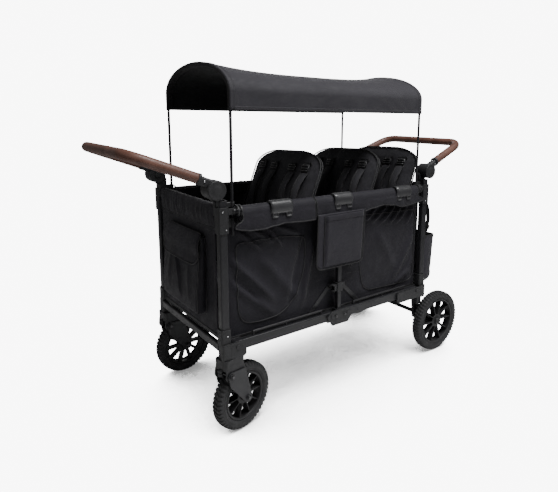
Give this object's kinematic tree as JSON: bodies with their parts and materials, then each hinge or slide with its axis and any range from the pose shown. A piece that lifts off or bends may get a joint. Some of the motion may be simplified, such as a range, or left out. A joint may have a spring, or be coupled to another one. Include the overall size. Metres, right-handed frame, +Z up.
{
  "type": "folding pull wagon",
  "caption": "Folding kids pull wagon: fabric tub with seat rows and harnesses on a four-post frame, swing handles, sprung swivel casters, rear wheels and an arched canopy.",
  "frame": {"origin": "on the ground, midway between the handles' crossbars and midway between the sides", "axes": "+X from the swivel-caster (front) end to the fixed-wheel (rear) end, +Y from the near to the far side, +Z up"},
  "size_m": [1.5698, 0.6005, 1.2676],
  "materials": {
    "frame_metal": "satin",
    "moulded_plastic": "matte",
    "tub_fabric": "matte",
    "seat_fabric": "matte",
    "canopy_fabric": "matte",
    "webbing": "matte",
    "grip_leather": "satin",
    "tyre_rubber": "matte",
    "rim_plastic": "satin",
    "steel": "satin"
  },
  "bodies": {
    "front_end": {"front_posts": "frame_metal", "front_castings": "moulded_plastic", "front_cross_rails": "frame_metal", "front_post_fittings": "moulded_plastic", "tub_sides": "tub_fabric", "side_flaps": "tub_fabric", "floor_mat": "tub_fabric", "front_panel": "tub_fabric", "front_pocket": "tub_fabric", "seat_back_front": "seat_fabric", "seat_back_middle": "seat_fabric", "seat_back_rear": "seat_fabric", "seat_bases": "seat_fabric", "harness_straps": "webbing"},
    "front_rails": {"front_side_rails": "frame_metal"},
    "centre": {"pivot_plates": "moulded_plastic", "centre_frame": "frame_metal", "centre_clips": "moulded_plastic"},
    "rear_rails": {"rear_side_rails": "frame_metal"},
    "rear_end": {"rear_posts": "frame_metal", "rear_castings": "moulded_plastic", "rear_cross_rails": "frame_metal", "rear_legs": "frame_metal", "rear_post_fittings": "moulded_plastic", "rear_panel": "tub_fabric", "rear_basket": "tub_fabric"},
    "brake": {"brake_pedal": "moulded_plastic"},
    "upper_front_rails": {"top_front_rails": "frame_metal", "front_rail_clips": "moulded_plastic"},
    "upper_rear_rails": {"top_rear_rails": "frame_metal", "rear_rail_clips": "moulded_plastic"},
    "collars": {"brace_collars": "moulded_plastic"},
    "front_brace": {"front_braces": "frame_metal"},
    "rear_brace": {"rear_braces": "frame_metal"},
    "front_handle": {"front_handle_frame": "moulded_plastic", "front_handle_grip": "grip_leather"},
    "rear_handle": {"rear_handle_frame": "moulded_plastic", "rear_handle_grip": "grip_leather"},
    "front_levers": {"front_clamp_levers": "moulded_plastic"},
    "rear_levers": {"rear_clamp_levers": "moulded_plastic"},
    "canopy_front": {"canopy_front_hoop": "frame_metal", "canopy_cloth": "canopy_fabric"},
    "canopy_rear": {"canopy_rear_hoop": "frame_metal"},
    "button_front_near": {"hinge_button_front_near": "moulded_plastic"},
    "button_front_far": {"hinge_button_front_far": "moulded_plastic"},
    "button_rear_near": {"hinge_button_rear_near": "moulded_plastic"},
    "button_rear_far": {"hinge_button_rear_far": "moulded_plastic"},
    "swivel_near": {"caster_swivel_near": "moulded_plastic"},
    "fork_near": {"caster_fork_near": "frame_metal"},
    "swivel_far": {"caster_swivel_far": "moulded_plastic"},
    "fork_far": {"caster_fork_far": "frame_metal"},
    "wheel_front_near": {"front_tyre_near": "tyre_rubber", "front_rim_near": "rim_plastic"},
    "wheel_front_far": {"front_tyre_far": "tyre_rubber", "front_rim_far": "rim_plastic"},
    "wheel_rear_near": {"rear_tyre_near": "tyre_rubber", "rear_rim_near": "rim_plastic"},
    "wheel_rear_far": {"rear_tyre_far": "tyre_rubber", "rear_rim_far": "rim_plastic"}
  },
  "joints": [
    {"name": "fold", "type": "hinge", "parent": "front_end", "child": "front_rails", "pos_m": [-0.452, 0, 0.322], "axis": [0, -1, 0], "range_deg": [0, 75], "deforming": ["tub_sides", "side_flaps", "floor_mat", "seat_back_front", "seat_back_middle", "seat_back_rear", "seat_bases", "harness_straps", "canopy_cloth"]},
    {"name": "fold_centre", "type": "hinge", "parent": "front_rails", "child": "centre", "pos_m": [-0.04, 0, 0.322], "axis": [0, -1, 0], "range_deg": [-75, 0]},
    {"name": "fold_rear_rails", "type": "hinge", "parent": "centre", "child": "rear_rails", "pos_m": [0.04, 0, 0.322], "axis": [0, -1, 0], "range_deg": [-75, 0]},
    {"name": "fold_rear_end", "type": "hinge", "parent": "rear_rails", "child": "rear_end", "pos_m": [0.452, 0, 0.322], "axis": [0, -1, 0], "range_deg": [0, 75]},
    {"name": "fold_upper_front", "type": "hinge", "parent": "front_end", "child": "upper_front_rails", "pos_m": [-0.452, 0, 0.785], "axis": [0, -1, 0], "range_deg": [0, 75]},
    {"name": "fold_upper_rear", "type": "hinge", "parent": "rear_end", "child": "upper_rear_rails", "pos_m": [0.452, 0, 0.785], "axis": [0, -1, 0], "range_deg": [-75, 0]},
    {"name": "collar_slide", "type": "slide", "parent": "centre", "child": "collars", "axis": [0, 0, -1], "range_m": [0, 0.074]},
    {"name": "front_brace_turn", "type": "hinge", "parent": "collars", "child": "front_brace", "pos_m": [-0.03, 0, 0.436], "axis": [0, -1, 0], "range_deg": [0, 18.2]},
    {"name": "rear_brace_turn", "type": "hinge", "parent": "collars", "child": "rear_brace", "pos_m": [0.03, 0, 0.436], "axis": [0, -1, 0], "range_deg": [-18.2, 0]},
    {"name": "front_handle_hinge", "type": "hinge", "parent": "front_end", "child": "front_handle", "pos_m": [-0.513, 0, 0.857], "axis": [0, 1, 0], "range_deg": [-100, 60]},
    {"name": "rear_handle_hinge", "type": "hinge", "parent": "rear_end", "child": "rear_handle", "pos_m": [0.513, 0, 0.857], "axis": [0, -1, 0], "range_deg": [-100, 60]},
    {"name": "press_front_near", "type": "slide", "parent": "front_end", "child": "button_front_near", "axis": [0, -1, 0], "range_m": [0, 0.004], "stiffness_N_per_m": 600, "springref_m": -0.002},
    {"name": "press_front_far", "type": "slide", "parent": "front_end", "child": "button_front_far", "axis": [0, 1, 0], "range_m": [0, 0.004], "stiffness_N_per_m": 600, "springref_m": -0.002},
    {"name": "press_rear_near", "type": "slide", "parent": "rear_end", "child": "button_rear_near", "axis": [0, -1, 0], "range_m": [0, 0.004], "stiffness_N_per_m": 600, "springref_m": -0.002},
    {"name": "press_rear_far", "type": "slide", "parent": "rear_end", "child": "button_rear_far", "axis": [0, 1, 0], "range_m": [0, 0.004], "stiffness_N_per_m": 600, "springref_m": -0.002},
    {"name": "front_lever_turn", "type": "hinge", "parent": "front_end", "child": "front_levers", "pos_m": [-0.435, 0, 0.745], "axis": [0, 1, 0], "range_deg": [0, 90]},
    {"name": "rear_lever_turn", "type": "hinge", "parent": "rear_end", "child": "rear_levers", "pos_m": [0.435, 0, 0.745], "axis": [0, -1, 0], "range_deg": [0, 90]},
    {"name": "canopy_height", "type": "slide", "parent": "front_end", "child": "canopy_front", "axis": [0, 0, 1], "range_m": [-0.16, 0]},
    {"name": "canopy_height_rear", "type": "slide", "parent": "rear_end", "child": "canopy_rear", "axis": [0, 0, 1], "range_m": [-0.16, 0]},
    {"name": "brake_press", "type": "hinge", "parent": "rear_end", "child": "brake", "pos_m": [0.5, 0, 0.197], "axis": [0, 1, 0], "range_deg": [0, 20]},
    {"name": "swivel_near_turn", "type": "hinge", "parent": "front_end", "child": "swivel_near", "pos_m": [-0.491, -0.257, 0.25], "axis": [0, 0, 1], "continuous": true},
    {"name": "suspension_near", "type": "hinge", "parent": "swivel_near", "child": "fork_near", "pos_m": [-0.491, -0.257, 0.228], "axis": [0.2419, -0.9703, 0], "range_deg": [0, 5], "stiffness_Nm_per_rad": 160, "springref_deg": -5.73},
    {"name": "spin_front_near", "type": "hinge", "parent": "fork_near", "child": "wheel_front_near", "pos_m": [-0.4192, -0.2391, 0.12], "axis": [-0.2419, 0.9703, 0], "continuous": true},
    {"name": "swivel_far_turn", "type": "hinge", "parent": "front_end", "child": "swivel_far", "pos_m": [-0.491, 0.257, 0.25], "axis": [0, 0, 1], "continuous": true},
    {"name": "suspension_far", "type": "hinge", "parent": "swivel_far", "child": "fork_far", "pos_m": [-0.491, 0.257, 0.228], "axis": [0.1045, -0.9945, 0], "range_deg": [0, 5], "stiffness_Nm_per_rad": 160, "springref_deg": -5.73},
    {"name": "spin_front_far", "type": "hinge", "parent": "fork_far", "child": "wheel_front_far", "pos_m": [-0.41741, 0.26473, 0.12], "axis": [-0.1045, 0.9945, 0], "continuous": true},
    {"name": "spin_rear_near", "type": "hinge", "parent": "rear_end", "child": "wheel_rear_near", "pos_m": [0.603, -0.27, 0.141], "axis": [0, 1, 0], "continuous": true},
    {"name": "spin_rear_far", "type": "hinge", "parent": "rear_end", "child": "wheel_rear_far", "pos_m": [0.603, 0.27, 0.141], "axis": [0, 1, 0], "continuous": true}
  ],
  "couplings": [
    {"joint": "fold_centre", "follows": "fold", "ratio": -1},
    {"joint": "fold_rear_rails", "follows": "fold", "ratio": -1},
    {"joint": "fold_rear_end", "follows": "fold", "ratio": 1},
    {"joint": "fold_upper_front", "follows": "fold", "ratio": 1},
    {"joint": "fold_upper_rear", "follows": "fold", "ratio": -1},
    {"joint": "collar_slide", "follows": "fold", "m_per_rad": 0.0558},
    {"joint": "front_brace_turn", "follows": "fold", "ratio": 0.2393},
    {"joint": "rear_brace_turn", "follows": "fold", "ratio": -0.2393},
    {"joint": "canopy_height_rear", "follows": "canopy_height", "ratio": 1}
  ]
}
